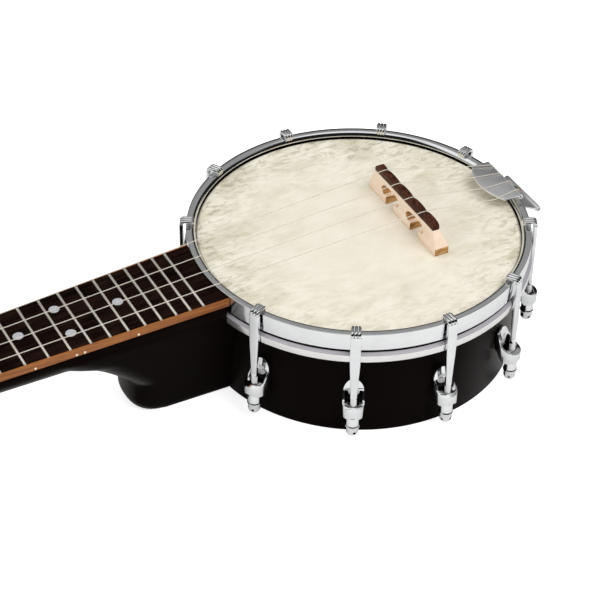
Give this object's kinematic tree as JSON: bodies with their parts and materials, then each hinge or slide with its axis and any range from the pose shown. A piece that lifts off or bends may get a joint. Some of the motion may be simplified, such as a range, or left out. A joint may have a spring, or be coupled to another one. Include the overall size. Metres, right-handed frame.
{
  "type": "banjo ukulele",
  "caption": "Small four-string banjo with an open-backed round pot, stretched drum head, hooked tension hoop, wooden bridge, fretted neck and geared tuners.",
  "frame": {"origin": "on the ground plane, below the middle of the instrument's outline", "axes": "+X along the neck towards the headstock, +Z out of the drum head"},
  "size_m": [0.671, 0.2328, 0.0983],
  "materials": {
    "black_satin": "black satin lacquer",
    "head_skin": "matt mottled skin",
    "band_metal": "bright",
    "chrome": "polished",
    "steel": "plain",
    "satin_steel": "satin",
    "bronze": "dull",
    "dark_wood": "open-grained, oiled",
    "maple": "satin",
    "cap_wood": "satin",
    "bone": "polished bone",
    "string": "clear nylon",
    "pearl": "pearl"
  },
  "bodies": {
    "instrument": {"rim": "black_satin", "neck": "black_satin", "drum_head": "head_skin", "flesh_hoop": "band_metal", "tension_hoop": "chrome", "coordinator_rod": "steel", "bridge_body": "maple", "bridge_cap": "cap_wood", "tailpiece_plate": "satin_steel", "tailpiece_hanger": "satin_steel", "tailpiece_screw": "bronze", "tailpiece_bolt": "chrome", "fretboard": "dark_wood", "string_nut": "bone", "hook_01": "chrome", "shoe_01": "chrome", "bracket_nut_01": "chrome", "hook_02": "chrome", "shoe_02": "chrome", "bracket_nut_02": "chrome", "hook_03": "chrome", "shoe_03": "chrome", "bracket_nut_03": "chrome", "hook_04": "chrome", "shoe_04": "chrome", "bracket_nut_04": "chrome", "hook_05": "chrome", "shoe_05": "chrome", "bracket_nut_05": "chrome", "hook_06": "chrome", "shoe_06": "chrome", "bracket_nut_06": "chrome", "hook_07": "chrome", "shoe_07": "chrome", "bracket_nut_07": "chrome", "hook_08": "chrome", "shoe_08": "chrome", "bracket_nut_08": "chrome", "hook_09": "chrome", "shoe_09": "chrome", "bracket_nut_09": "chrome", "hook_10": "chrome", "shoe_10": "chrome", "bracket_nut_10": "chrome", "string_1": "string", "tuner_base_1": "chrome", "string_2": "string", "tuner_base_2": "chrome", "string_3": "string", "tuner_base_3": "chrome", "string_4": "string", "tuner_base_4": "chrome"},
    "post_1": {"tuner_post_1": "chrome"},
    "button_1": {"tuner_button_1": "pearl"},
    "post_2": {"tuner_post_2": "chrome"},
    "button_2": {"tuner_button_2": "pearl"},
    "post_3": {"tuner_post_3": "chrome"},
    "button_3": {"tuner_button_3": "pearl"},
    "post_4": {"tuner_post_4": "chrome"},
    "button_4": {"tuner_button_4": "pearl"}
  },
  "joints": [
    {"name": "button_turn_1", "type": "hinge", "parent": "instrument", "child": "button_1", "pos_m": [0.2443, 0.02, 0.03153], "axis": [0, 1, 0], "continuous": true},
    {"name": "post_turn_1", "type": "hinge", "parent": "instrument", "child": "post_1", "pos_m": [0.24046, 0.02, 0.05024], "axis": [0.2445, 0, 0.9697], "continuous": true},
    {"name": "button_turn_2", "type": "hinge", "parent": "instrument", "child": "button_2", "pos_m": [0.29472, 0.02, 0.01882], "axis": [0, 1, 0], "continuous": true},
    {"name": "post_turn_2", "type": "hinge", "parent": "instrument", "child": "post_2", "pos_m": [0.29088, 0.02, 0.03753], "axis": [0.2445, 0, 0.9697], "continuous": true},
    {"name": "button_turn_3", "type": "hinge", "parent": "instrument", "child": "button_3", "pos_m": [0.29472, -0.02, 0.01882], "axis": [0, 1, 0], "continuous": true},
    {"name": "post_turn_3", "type": "hinge", "parent": "instrument", "child": "post_3", "pos_m": [0.29088, -0.02, 0.03753], "axis": [0.2445, 0, 0.9697], "continuous": true},
    {"name": "button_turn_4", "type": "hinge", "parent": "instrument", "child": "button_4", "pos_m": [0.2443, -0.02, 0.03153], "axis": [0, 1, 0], "continuous": true},
    {"name": "post_turn_4", "type": "hinge", "parent": "instrument", "child": "post_4", "pos_m": [0.24046, -0.02, 0.05024], "axis": [0.2445, 0, 0.9697], "continuous": true}
  ],
  "couplings": [
    {"joint": "post_turn_1", "follows": "button_turn_1", "ratio": -0.071429},
    {"joint": "post_turn_2", "follows": "button_turn_2", "ratio": -0.071429},
    {"joint": "post_turn_3", "follows": "button_turn_3", "ratio": 0.071429},
    {"joint": "post_turn_4", "follows": "button_turn_4", "ratio": 0.071429}
  ]
}
